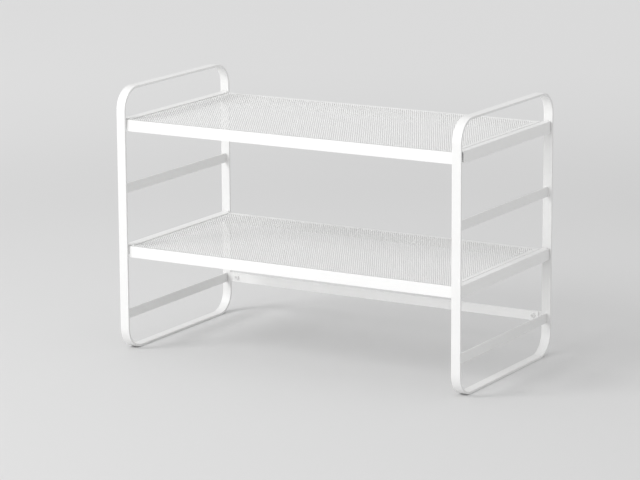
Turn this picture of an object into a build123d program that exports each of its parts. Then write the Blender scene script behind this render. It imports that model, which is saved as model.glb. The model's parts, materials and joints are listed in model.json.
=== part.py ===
from build123d import *
import os

# White two-tier shelf riser. Two side loops of flat strip stand on their bottom
# bars, each with four flat rungs. Two mesh shelves hang on the rungs by folded
# hooks and lift off. A screwed brace ties the back uprights together.
# Frame: millimetres, +Z up, -Y is the front, origin at the middle of the footprint.

# overall size
WIDTH = 590.0
DEPTH = 300.0
HEIGHT = 409.0

# side loops, bent from flat strip
STRIP_WIDTH = 15.0
STRIP_THICK = 3.5
CORNER_RADIUS = 35.0
STRIP_EDGE_ROUND = 0.5

# rungs, flat bar on edge, welded between the uprights
RUNG_THICK = 2.5
RUNG_HEIGHT = 15.0
MIDDLE_RUNG_Z = 253.2
BOTTOM_RUNG_Z = 56.2
RUNG_EDGE_ROUND = 0.3

# shelves; the hook tops are a little higher than the rims, which lie under the mesh
UPPER_HOOK_TOP = 361.8
LOWER_HOOK_TOP = 165.6
SHEET = 1.1
RIM_DROP = 1.2
RIM_HEIGHT = 17.0
RIM_END_GAP = 1.1
RIM_SETBACK = 1.2
FRONT_LIP = 6.0
BACK_LIP = 9.5
HOOK_INSET = 3.0
HOOK_LIP_HEIGHT = 17.6
MARGIN_INNER_X = 269.0
MESH_EDGE_X = 273.8
MESH_THICK = 1.1
MESH_FRONT_INSET = 0.6
MESH_BACK_INSET = 8.0
EDGE_STRIP_INNER_X = 274.0
EDGE_STRIP_OUTER_X = 281.0
EDGE_STRIP_THICK = 2.0
UPPER_HOOK_START = 14.0
LOWER_HOOK_START = 9.0
HOOK_BACK_GAP = 1.0
HOOK_REST_GAP = 0.3

# rear brace with its tabs and screws
BRACE_THICK = 2.0
BRACE_HEIGHT = 14.6
BRACE_Z = 58.2
BRACE_END_GAP = 4.5
SCREW_FROM_END = 8.8
TAB_LENGTH = 22.0
TAB_HEIGHT = 14.6
SCREW_DIA = 4.0
SCREW_HEAD_DIA = 7.6
SCREW_HEAD_HEIGHT = 2.2

INNER_X = WIDTH / 2 - STRIP_WIDTH
STRIP_MID_X = WIDTH / 2 - STRIP_WIDTH / 2
UPRIGHT_INNER_Y = DEPTH / 2 - STRIP_THICK
RIM_FACE_Y = UPRIGHT_INNER_Y - RIM_SETBACK
BRACE_END_X = INNER_X - BRACE_END_GAP
SCREW_X = BRACE_END_X - SCREW_FROM_END

os.makedirs("parts", exist_ok=True)


def box_between(x0, x1, y0, y1, z0, z1):
    """Rectangular bar given by its limits on each axis."""
    size = Box(abs(x1 - x0), abs(y1 - y0), abs(z1 - z0))
    return Pos((x0 + x1) / 2, (y0 + y1) / 2, (z0 + z1) / 2) * size


def mirrored(shape, side):
    """Right-hand shape as built, or its mirror image for the left side."""
    if side == "left":
        return mirror(shape, about=Plane.YZ)
    return shape


def side_loop():
    """Closed loop of strip bent the easy way, with the same round at all four corners."""
    plane = Plane.YZ.offset(INNER_X)
    middle = Pos(0, HEIGHT / 2)
    outer = middle * RectangleRounded(DEPTH, HEIGHT, CORNER_RADIUS)
    inner = middle * RectangleRounded(
        DEPTH - 2 * STRIP_THICK, HEIGHT - 2 * STRIP_THICK, CORNER_RADIUS - STRIP_THICK
    )
    loop = extrude(plane * (outer - inner), STRIP_WIDTH)
    rims = loop.faces().sort_by(Axis.X)
    return fillet(rims[0].edges() + rims[-1].edges(), STRIP_EDGE_ROUND)


def rung(centre_z):
    """Flat bar on edge, butted between the inner faces of the two uprights."""
    half_x = RUNG_THICK / 2
    half_z = RUNG_HEIGHT / 2
    bar = box_between(
        STRIP_MID_X - half_x, STRIP_MID_X + half_x,
        -UPRIGHT_INNER_Y, UPRIGHT_INNER_Y,
        centre_z - half_z, centre_z + half_z,
    )
    return fillet(bar.edges().filter_by(Axis.Y), RUNG_EDGE_ROUND)


def shelf_hook(top, start):
    """Channel over the rung, with a low margin along its inner side to carry the mesh."""
    lip_x = WIDTH / 2 - HOOK_INSET
    rim_top = top - RIM_DROP
    y0 = -DEPTH / 2 + start
    y1 = UPRIGHT_INNER_Y - HOOK_BACK_GAP
    lip = box_between(lip_x - SHEET, lip_x, y0, y1, top - HOOK_LIP_HEIGHT, top)
    band = box_between(EDGE_STRIP_OUTER_X, lip_x, y0, y1, top - SHEET, top)
    step = box_between(
        EDGE_STRIP_OUTER_X, EDGE_STRIP_OUTER_X + SHEET, y0, y1, rim_top - SHEET, top
    )
    channel = lip + band + step
    outer_fold = channel.edges().filter_by(Axis.Y).group_by(Axis.Z)[-1].sort_by(Axis.X)[-1]
    channel = fillet(outer_fold, SHEET * 0.8)
    margin = box_between(
        MARGIN_INNER_X, EDGE_STRIP_OUTER_X + SHEET,
        FRONT_LIP - RIM_FACE_Y, RIM_FACE_Y - BACK_LIP,
        rim_top - SHEET, rim_top,
    )
    return channel + margin


def edge_strip(top):
    """Flat bar on the margin, covering the cut side edge of the mesh."""
    low = top - RIM_DROP
    bar = box_between(
        EDGE_STRIP_INNER_X, EDGE_STRIP_OUTER_X,
        FRONT_LIP - RIM_FACE_Y, RIM_FACE_Y - BACK_LIP,
        low, low + EDGE_STRIP_THICK,
    )
    return fillet(bar.edges().filter_by(Axis.Y).group_by(Axis.Z)[-1], 0.4)


def shelf_rim(top, lip_width, front):
    """Upright flange with a narrow lip folded inward under the mesh."""
    half_x = INNER_X - RIM_END_GAP
    high = top - RIM_DROP
    flange = box_between(
        -half_x, half_x, RIM_FACE_Y - SHEET, RIM_FACE_Y, high - RIM_HEIGHT, high
    )
    lip = box_between(
        -half_x, half_x, RIM_FACE_Y - lip_width, RIM_FACE_Y, high - SHEET, high
    )
    rim = flange + lip
    fold = rim.edges().filter_by(Axis.X).group_by(Axis.Z)[-1].sort_by(Axis.Y)[-1]
    rim = fillet(fold, SHEET * 0.8)
    if front:
        return mirror(rim, about=Plane.XZ)
    return rim


def shelf_deck(top):
    """Expanded-metal panel, lying on the side margins and on the rim lips."""
    low = top - RIM_DROP
    return box_between(
        -MESH_EDGE_X, MESH_EDGE_X,
        -RIM_FACE_Y + MESH_FRONT_INSET, RIM_FACE_Y - MESH_BACK_INSET,
        low, low + MESH_THICK,
    )


def screw_hole(x, depth_from, depth_to, diameter):
    """Hole along Y on the brace screw line."""
    length = depth_to - depth_from
    drill = Rot(90, 0, 0) * Cylinder(diameter / 2, length)
    return Pos(x, (depth_from + depth_to) / 2, BRACE_Z) * drill


def rear_brace():
    """Flat bar across the back with one screw hole near each end."""
    bar = box_between(
        -BRACE_END_X, BRACE_END_X,
        UPRIGHT_INNER_Y - BRACE_THICK, UPRIGHT_INNER_Y,
        BRACE_Z - BRACE_HEIGHT / 2, BRACE_Z + BRACE_HEIGHT / 2,
    )
    bar = fillet(bar.edges().filter_by(Axis.Y), 1.5)
    for x in (-SCREW_X, SCREW_X):
        bar -= screw_hole(x, UPRIGHT_INNER_Y - 5, UPRIGHT_INNER_Y + 1, SCREW_DIA + 0.4)
    return bar


def brace_tab():
    """Tapped tab welded to the inner edge of a back upright, behind the brace end."""
    tab = box_between(
        INNER_X - TAB_LENGTH, INNER_X, UPRIGHT_INNER_Y, DEPTH / 2 - 0.4,
        BRACE_Z - TAB_HEIGHT / 2, BRACE_Z + TAB_HEIGHT / 2,
    )
    ends = tab.edges().filter_by(Axis.Y).sort_by(Axis.X)[:2]
    tab = fillet(ends, 4.0)
    return tab - screw_hole(SCREW_X, UPRIGHT_INNER_Y - 1, DEPTH / 2 + 1, SCREW_DIA)


def brace_screw(x):
    """Pan-head screw driven from the front, with a round drive recess."""
    seat = UPRIGHT_INNER_Y - BRACE_THICK
    tip = DEPTH / 2 - 0.6
    head = Rot(90, 0, 0) * Cylinder(SCREW_HEAD_DIA / 2, SCREW_HEAD_HEIGHT)
    crown = head.edges().filter_by(GeomType.CIRCLE).sort_by(Axis.Y)[0]
    head = Pos(x, seat - SCREW_HEAD_HEIGHT / 2, BRACE_Z) * fillet(crown, 1.2)
    shank = Rot(90, 0, 0) * Cylinder(SCREW_DIA / 2 - 0.02, tip - seat)
    shank = Pos(x, (seat + tip) / 2, BRACE_Z) * shank
    recess = Rot(90, 0, 0) * Cylinder(1.7, 1.4)
    recess = Pos(x, seat - SCREW_HEAD_HEIGHT + 0.7, BRACE_Z) * recess
    return head + shank - recess


def write(name, shape):
    """Save one named piece as its own file."""
    shape.label = name
    export_step(shape, "parts/" + name + ".step")


RUNG_CENTRES = {
    "upper_rung": UPPER_HOOK_TOP - SHEET - HOOK_REST_GAP - RUNG_HEIGHT / 2,
    "middle_rung": MIDDLE_RUNG_Z,
    "lower_rung": LOWER_HOOK_TOP - SHEET - HOOK_REST_GAP - RUNG_HEIGHT / 2,
    "bottom_rung": BOTTOM_RUNG_Z,
}

for side in ("left", "right"):
    write(side + "_side_loop", mirrored(side_loop(), side))
    for name, centre_z in RUNG_CENTRES.items():
        write(side + "_" + name, mirrored(rung(centre_z), side))
    write(side + "_brace_tab", mirrored(brace_tab(), side))

SHELVES = {
    "upper": (UPPER_HOOK_TOP, UPPER_HOOK_START),
    "lower": (LOWER_HOOK_TOP, LOWER_HOOK_START),
}

for level, (top, hook_start) in SHELVES.items():
    write(level + "_deck_mesh", shelf_deck(top))
    write(level + "_front_rim", shelf_rim(top, FRONT_LIP, True))
    write(level + "_back_rim", shelf_rim(top, BACK_LIP, False))
    for side in ("left", "right"):
        write(level + "_" + side + "_hook", mirrored(shelf_hook(top, hook_start), side))
        write(level + "_" + side + "_edge_strip", mirrored(edge_strip(top), side))

write("rear_brace", rear_brace())
write("brace_screws", Compound(children=[brace_screw(-SCREW_X), brace_screw(SCREW_X)]))
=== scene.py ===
import json
import math

import bpy
import numpy as np
from mathutils import Matrix, Vector


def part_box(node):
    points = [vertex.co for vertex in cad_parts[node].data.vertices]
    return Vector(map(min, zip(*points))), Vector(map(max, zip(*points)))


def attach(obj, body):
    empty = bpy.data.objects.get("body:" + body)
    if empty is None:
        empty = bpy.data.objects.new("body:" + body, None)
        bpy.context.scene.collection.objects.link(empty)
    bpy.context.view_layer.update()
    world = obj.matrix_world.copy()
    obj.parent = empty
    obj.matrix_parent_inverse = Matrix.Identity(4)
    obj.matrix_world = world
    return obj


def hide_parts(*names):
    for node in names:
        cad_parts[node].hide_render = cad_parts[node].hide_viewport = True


# White two-tier shelf riser: looks, expanded-metal decks, studio floor, light and camera.

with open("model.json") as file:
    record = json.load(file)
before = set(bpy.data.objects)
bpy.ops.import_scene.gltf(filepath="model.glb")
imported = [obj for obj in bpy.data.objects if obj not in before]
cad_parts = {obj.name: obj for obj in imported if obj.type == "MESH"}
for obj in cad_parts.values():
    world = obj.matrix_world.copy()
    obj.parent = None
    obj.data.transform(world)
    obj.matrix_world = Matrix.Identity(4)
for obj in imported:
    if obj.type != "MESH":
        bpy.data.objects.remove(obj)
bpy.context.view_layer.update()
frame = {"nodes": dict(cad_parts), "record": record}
nodes = frame["nodes"]
scene = bpy.context.scene

# ---------------------------------------------------------------- sizes, metres
MM = 0.001
PITCH_X = 3.55 * MM        # short way of one mesh diamond
ROW_Y = 3.28 * MM          # from one staggered row to the next
KNUCKLE_WIDE = 1.80 * MM   # two strands side by side where they join
KNUCKLE_LONG = 1.20 * MM
STRAND_THICK = 0.32 * MM
KNUCKLE_LEAN = 0.20 * MM   # back edge of a knuckle over its middle, front edge under
HALF_PITCH = PITCH_X / 2
TOLERANCE = 1e-6

FLOOR_REACH = 14.0         # from the middle of the floor to its edges
FLOOR_PAINTED_LIGHT = (            # distance from the object, and the floor tone there: painted shade near the object, painted light farther out
    (0.0, 0.71), (1.0, 0.70), (1.4, 0.69), (2.0, 0.77), (2.75, 0.83), (4.0, 0.86),
    (5.0, 0.88), (12.0, 0.78),
)
LIGHT_AIM_HEIGHT = 0.2

# ---------------------------------------------------------------- colours
FRAME_WHITE = (0.845, 0.845, 0.84)
BRACE_WHITE = (0.88, 0.88, 0.875)
SHELF_WHITE = (0.885, 0.885, 0.88)
SCREW_WHITE = (0.82, 0.82, 0.815)
# paler than the shelf's white coat: painted light that brightens the tops of the decks
MESH_WHITE_PAINTED_LIGHT = (0.95, 0.95, 0.945)


# ---------------------------------------------------------------- materials
def powder_coat(name, colour, rough=0.42, peel=1.0):
    """Satin powder coat: faint mottling, uneven sheen and a fine orange-peel surface."""
    mat = bpy.data.materials.new(name)
    mat.use_nodes = True
    tree = mat.node_tree
    link = tree.links.new
    bsdf = tree.nodes["Principled BSDF"]
    coords = tree.nodes.new("ShaderNodeTexCoord")

    def noise(scale, detail, roughness):
        n = tree.nodes.new("ShaderNodeTexNoise")
        n.inputs["Scale"].default_value = scale
        n.inputs["Detail"].default_value = detail
        n.inputs["Roughness"].default_value = roughness
        link(coords.outputs["Object"], n.inputs["Vector"])
        return n.outputs["Fac"]

    def spread(source, low, high):
        m = tree.nodes.new("ShaderNodeMapRange")
        m.inputs["From Min"].default_value = 0.3
        m.inputs["From Max"].default_value = 0.7
        m.inputs["To Min"].default_value = low
        m.inputs["To Max"].default_value = high
        link(source, m.inputs["Value"])
        return m.outputs["Result"]

    def bump(source, strength, distance):
        b = tree.nodes.new("ShaderNodeBump")
        b.inputs["Strength"].default_value = strength
        b.inputs["Distance"].default_value = distance
        link(source, b.inputs["Height"])
        return b

    mottle = tree.nodes.new("ShaderNodeValToRGB")
    darker, paler = mottle.color_ramp.elements
    darker.position = 0.32
    paler.position = 0.68
    darker.color = [0.982 * c for c in colour] + [1]
    paler.color = list(colour) + [1]
    link(noise(scale=22.0, detail=3.0, roughness=0.55), mottle.inputs["Fac"])
    link(mottle.outputs["Color"], bsdf.inputs["Base Color"])

    uneven = noise(scale=60.0, detail=4.0, roughness=0.6)
    link(spread(uneven, rough - 0.05, rough + 0.07), bsdf.inputs["Roughness"])

    orange = noise(scale=750.0, detail=2.0, roughness=0.5)
    grain = noise(scale=3200.0, detail=2.0, roughness=0.6)
    fine = bump(grain, strength=0.10 * peel, distance=0.03 * MM)
    coarse = bump(orange, strength=0.22 * peel, distance=0.10 * MM)
    link(fine.outputs["Normal"], coarse.inputs["Normal"])
    link(coarse.outputs["Normal"], bsdf.inputs["Normal"])
    bsdf.inputs["IOR"].default_value = 1.5
    return mat


FINISHES = {
    "frame_white": powder_coat("powder_frame", FRAME_WHITE),
    "rung_white": powder_coat("powder_rung", FRAME_WHITE),
    "brace_white": powder_coat("powder_brace", BRACE_WHITE),
    "shelf_white": powder_coat("powder_shelf", SHELF_WHITE),
    "screw_white": powder_coat("powder_screw", SCREW_WHITE, rough=0.34),
    # mesh coat made paler than the shelf's white as painted light on the decks
    "mesh_white": powder_coat("powder_mesh_painted_light", MESH_WHITE_PAINTED_LIGHT, rough=0.46, peel=0.6),
}
SLOT_OF = {s["node"]: s["material_slot"] for s in frame["record"]["subparts"]}

for name, node in nodes.items():
    finish = FINISHES[SLOT_OF[name]]
    node.data.materials.clear()
    node.data.materials.append(finish)


# ---------------------------------------------------------------- expanded-metal decks
def mesh_object(name, points, quads, material):
    """Mesh piece from an array of points and an array of four-cornered faces."""
    data = bpy.data.meshes.new(name)
    data.vertices.add(len(points))
    data.vertices.foreach_set("co", points.astype(np.float32).ravel())
    data.loops.add(quads.size)
    data.loops.foreach_set("vertex_index", quads.astype(np.int32).ravel())
    data.polygons.add(len(quads))
    data.polygons.foreach_set("loop_start", np.arange(0, quads.size, 4, dtype=np.int32))
    data.update(calc_edges=True)
    data.validate()
    data.materials.append(material)
    obj = bpy.data.objects.new(name, data)
    scene.collection.objects.link(obj)
    return obj


def weld_points(points, faces):
    """Joins points that coincide, so that neighbouring cells share their corners."""
    keys = np.round(points / TOLERANCE).astype(np.int64)
    _, first, back = np.unique(keys, axis=0, return_index=True, return_inverse=True)
    return points[first], back.reshape(-1)[faces]


def knuckle_grid(x0, x1, count_y):
    """Middles of the knuckles from x0 to x1, in rows staggered by half a pitch."""
    rows = []
    for j in range(-count_y, count_y + 1):
        shift = HALF_PITCH if j % 2 else 0.0
        first = math.ceil((x0 - shift) / PITCH_X - TOLERANCE)
        last = math.floor((x1 - shift) / PITCH_X + TOLERANCE)
        i = np.arange(first, last + 1)
        rows.append(np.stack([i * PITCH_X + shift, np.full(len(i), j * ROW_Y)], 1))
    return np.concatenate(rows)


def knuckle_corners():
    """Front row, then back row, of the points round a knuckle that leans to the front."""
    edge = KNUCKLE_WIDE / 2
    side = KNUCKLE_LONG / 2
    lean = KNUCKLE_LEAN
    return np.array([
        [-edge, -side, -lean], [0, -side, -lean], [edge, -side, -lean],
        [-edge, side, lean], [0, side, lean], [edge, side, lean],
    ])


def slab(a, b, c, d):
    """Top and underside of a run of four-cornered pieces of sheet."""
    lift = np.array([0, 0, STRAND_THICK / 2])
    middle = np.stack([a, b, c, d], axis=1)
    return [middle + lift, middle[:, ::-1] - lift]


def wall(p, q):
    """Side faces from points p to points q, turned towards the openings."""
    lift = np.array([0, 0, STRAND_THICK / 2])
    return [np.stack([p - lift, q - lift, q + lift, p + lift], axis=1)]


def knuckle_faces(k):
    """The two halves of each knuckle, and its two sides."""
    faces = slab(k[:, 0], k[:, 1], k[:, 4], k[:, 3])
    faces += slab(k[:, 1], k[:, 2], k[:, 5], k[:, 4])
    return faces + wall(k[:, 3], k[:, 0]) + wall(k[:, 2], k[:, 5])


def strand_faces(k, way):
    """Strands from knuckles to the row behind: way is -1 to the left, 1 to the right."""
    there = k + np.array([way * HALF_PITCH, ROW_Y, 0])
    start, end = (3, 1) if way < 0 else (4, 0)
    p0, p1 = k[:, start], k[:, start + 1]
    q0, q1 = there[:, end], there[:, end + 1]
    return slab(p0, p1, q1, q0) + wall(q0, p0) + wall(p1, q1)


def deck_half(name, node, x0, x1):
    """Half a deck of expanded metal, from x0 to x1."""
    low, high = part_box(node)
    count_y = int((high.y - low.y - KNUCKLE_LONG) / 2 / ROW_Y)
    knuckles = knuckle_grid(x0, x1, count_y)
    middles = np.concatenate([knuckles, np.zeros((len(knuckles), 1))], axis=1)
    corners = middles[:, None, :] + knuckle_corners()[None, :, :]

    # knuckles on the middle line belong to the right half alone
    faces = knuckle_faces(corners[knuckles[:, 0] < x1 - TOLERANCE])
    before_last = knuckles[:, 1] < (count_y - 0.5) * ROW_Y
    for way in (-1, 1):
        end_x = knuckles[:, 0] + way * HALF_PITCH
        inside = (end_x > x0 - TOLERANCE) & (end_x < x1 + TOLERANCE)
        faces += strand_faces(corners[before_last & inside], way)

    points = np.concatenate(faces).reshape(-1, 3)
    points += np.array([0, (low.y + high.y) / 2, (low.z + high.z) / 2])
    quads = np.arange(len(points)).reshape(-1, 4)
    points, quads = weld_points(points, quads)
    return mesh_object(name, points, quads, FINISHES["mesh_white"])


def deck(name, node, body):
    """The two halves of a shelf's mesh, split on the middle line so each stays light."""
    low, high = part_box(node)
    for half, x0, x1 in (("left", low.x, 0.0), ("right", 0.0, high.x)):
        piece = deck_half(name + "_" + half, node, x0, x1)
        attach(piece, body)
        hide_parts(node)


deck("upper_mesh", "upper_deck_mesh", "upper_shelf")
deck("lower_mesh", "lower_deck_mesh", "lower_shelf")


# ---------------------------------------------------------------- floor
def floor_material():
    """Matt pale grey paper with a faint fibre; painted shade darkens it near the object and
    painted light makes it paler away from the object.
    """
    mat = bpy.data.materials.new("floor_paper_painted_light")
    mat.use_nodes = True
    tree = mat.node_tree
    link = tree.links.new
    bsdf = tree.nodes["Principled BSDF"]
    coords = tree.nodes.new("ShaderNodeTexCoord")

    distance = tree.nodes.new("ShaderNodeVectorMath")
    distance.operation = "LENGTH"
    link(coords.outputs["Object"], distance.inputs[0])
    span = FLOOR_PAINTED_LIGHT[-1][0]
    away = tree.nodes.new("ShaderNodeMapRange")
    away.inputs["From Min"].default_value = 0.0
    away.inputs["From Max"].default_value = span
    link(distance.outputs["Value"], away.inputs["Value"])
    # painted light and shade: the floor colour is darker near the object and paler far from it
    ramp = tree.nodes.new("ShaderNodeValToRGB")
    ramp.color_ramp.interpolation = "B_SPLINE"
    stops = ramp.color_ramp.elements
    for metres, tone in FLOOR_PAINTED_LIGHT[1:-1]:
        stops.new(metres / span)
    for stop, (metres, tone) in zip(stops, FLOOR_PAINTED_LIGHT):
        stop.color = (tone, tone, tone, 1)
    link(away.outputs["Result"], ramp.inputs["Fac"])
    link(ramp.outputs["Color"], bsdf.inputs["Base Color"])

    fibre = tree.nodes.new("ShaderNodeTexNoise")
    fibre.inputs["Scale"].default_value = 900.0
    link(coords.outputs["Object"], fibre.inputs["Vector"])
    bump = tree.nodes.new("ShaderNodeBump")
    bump.inputs["Strength"].default_value = 0.1
    bump.inputs["Distance"].default_value = 0.1 * MM
    link(fibre.outputs["Fac"], bump.inputs["Height"])
    link(bump.outputs["Normal"], bsdf.inputs["Normal"])
    bsdf.inputs["Roughness"].default_value = 0.85
    bsdf.inputs["Specular IOR Level"].default_value = 0.2
    return mat


floor_data = bpy.data.meshes.new("floor")
floor_corners = [
    (x * FLOOR_REACH, y * FLOOR_REACH, 0) for x, y in ((-1, -1), (1, -1), (1, 1), (-1, 1))
]
floor_data.from_pydata(floor_corners, [], [(0, 1, 2, 3)])
floor = bpy.data.objects.new("floor", floor_data)
floor.data.materials.append(floor_material())
scene.collection.objects.link(floor)


# ---------------------------------------------------------------- light
def area_light(name, side, distance, size, power):
    """Soft box that stands off to a side, aimed at the middle of the object."""
    lamp = bpy.data.lights.new(name, "AREA")
    lamp.shape = "DISK"
    lamp.size = size
    lamp.energy = power
    obj = bpy.data.objects.new(name, lamp)
    way = Vector(side).normalized()
    obj.location = Vector((0, 0, LIGHT_AIM_HEIGHT)) + way * distance
    obj.rotation_euler = way.to_track_quat("Z", "Y").to_euler()
    scene.collection.objects.link(obj)


def soft_world(low, high, side):
    """White surroundings, brightest towards one side and dimmest opposite it."""
    made = bpy.data.worlds.new("studio")
    made.use_nodes = True
    tree = made.node_tree
    coords = tree.nodes.new("ShaderNodeTexCoord")
    along = tree.nodes.new("ShaderNodeVectorMath")
    along.operation = "DOT_PRODUCT"
    tree.links.new(coords.outputs["Generated"], along.inputs[0])
    along.inputs[1].default_value = Vector(side).normalized()
    level = tree.nodes.new("ShaderNodeMapRange")
    level.inputs["From Min"].default_value = -1.0
    level.inputs["From Max"].default_value = 1.0
    level.inputs["To Min"].default_value = low
    level.inputs["To Max"].default_value = high
    tree.links.new(along.outputs["Value"], level.inputs["Value"])
    tree.links.new(level.outputs["Result"], tree.nodes["Background"].inputs["Strength"])
    tree.nodes["Background"].inputs["Color"].default_value = (1, 1, 1, 1)
    return made


area_light("key", side=(-0.54, -0.62, 0.57), distance=4.4, size=1.5, power=62.0)
area_light("front_fill", side=(-0.16, -0.97, 0.15), distance=6.0, size=1.9, power=78.0)
scene.world = soft_world(low=0.44, high=0.84, side=(-0.20, -0.08, 0.97))
scene.view_settings.view_transform = "Standard"
scene.view_settings.look = "None"


# ---------------------------------------------------------------- camera
def camera(azimuth, elevation, roll, place, lens):
    """Camera at a place, azimuth to the right of the front, looking down by elevation."""
    az, el, ro = (math.radians(v) for v in (azimuth, elevation, roll))
    forward = Vector((-math.sin(az) * math.cos(el), math.cos(az) * math.cos(el), -math.sin(el)))
    right = Vector((math.cos(az), math.sin(az), 0))
    up = right.cross(forward)
    right, up = (
        right * math.cos(ro) + up * math.sin(ro),
        up * math.cos(ro) - right * math.sin(ro),
    )
    data = bpy.data.cameras.new("camera")
    data.lens = lens
    data.sensor_width = 36.0
    obj = bpy.data.objects.new("camera", data)
    turn = Matrix((right, up, -forward)).transposed()
    obj.matrix_world = Matrix.Translation(Vector(place)) @ turn.to_4x4()
    scene.collection.objects.link(obj)
    return obj


scene.camera = camera(
    azimuth=30.347, elevation=12.325, roll=-0.31,
    place=(2.2116, -3.8218, 1.1408), lens=166.64,
)
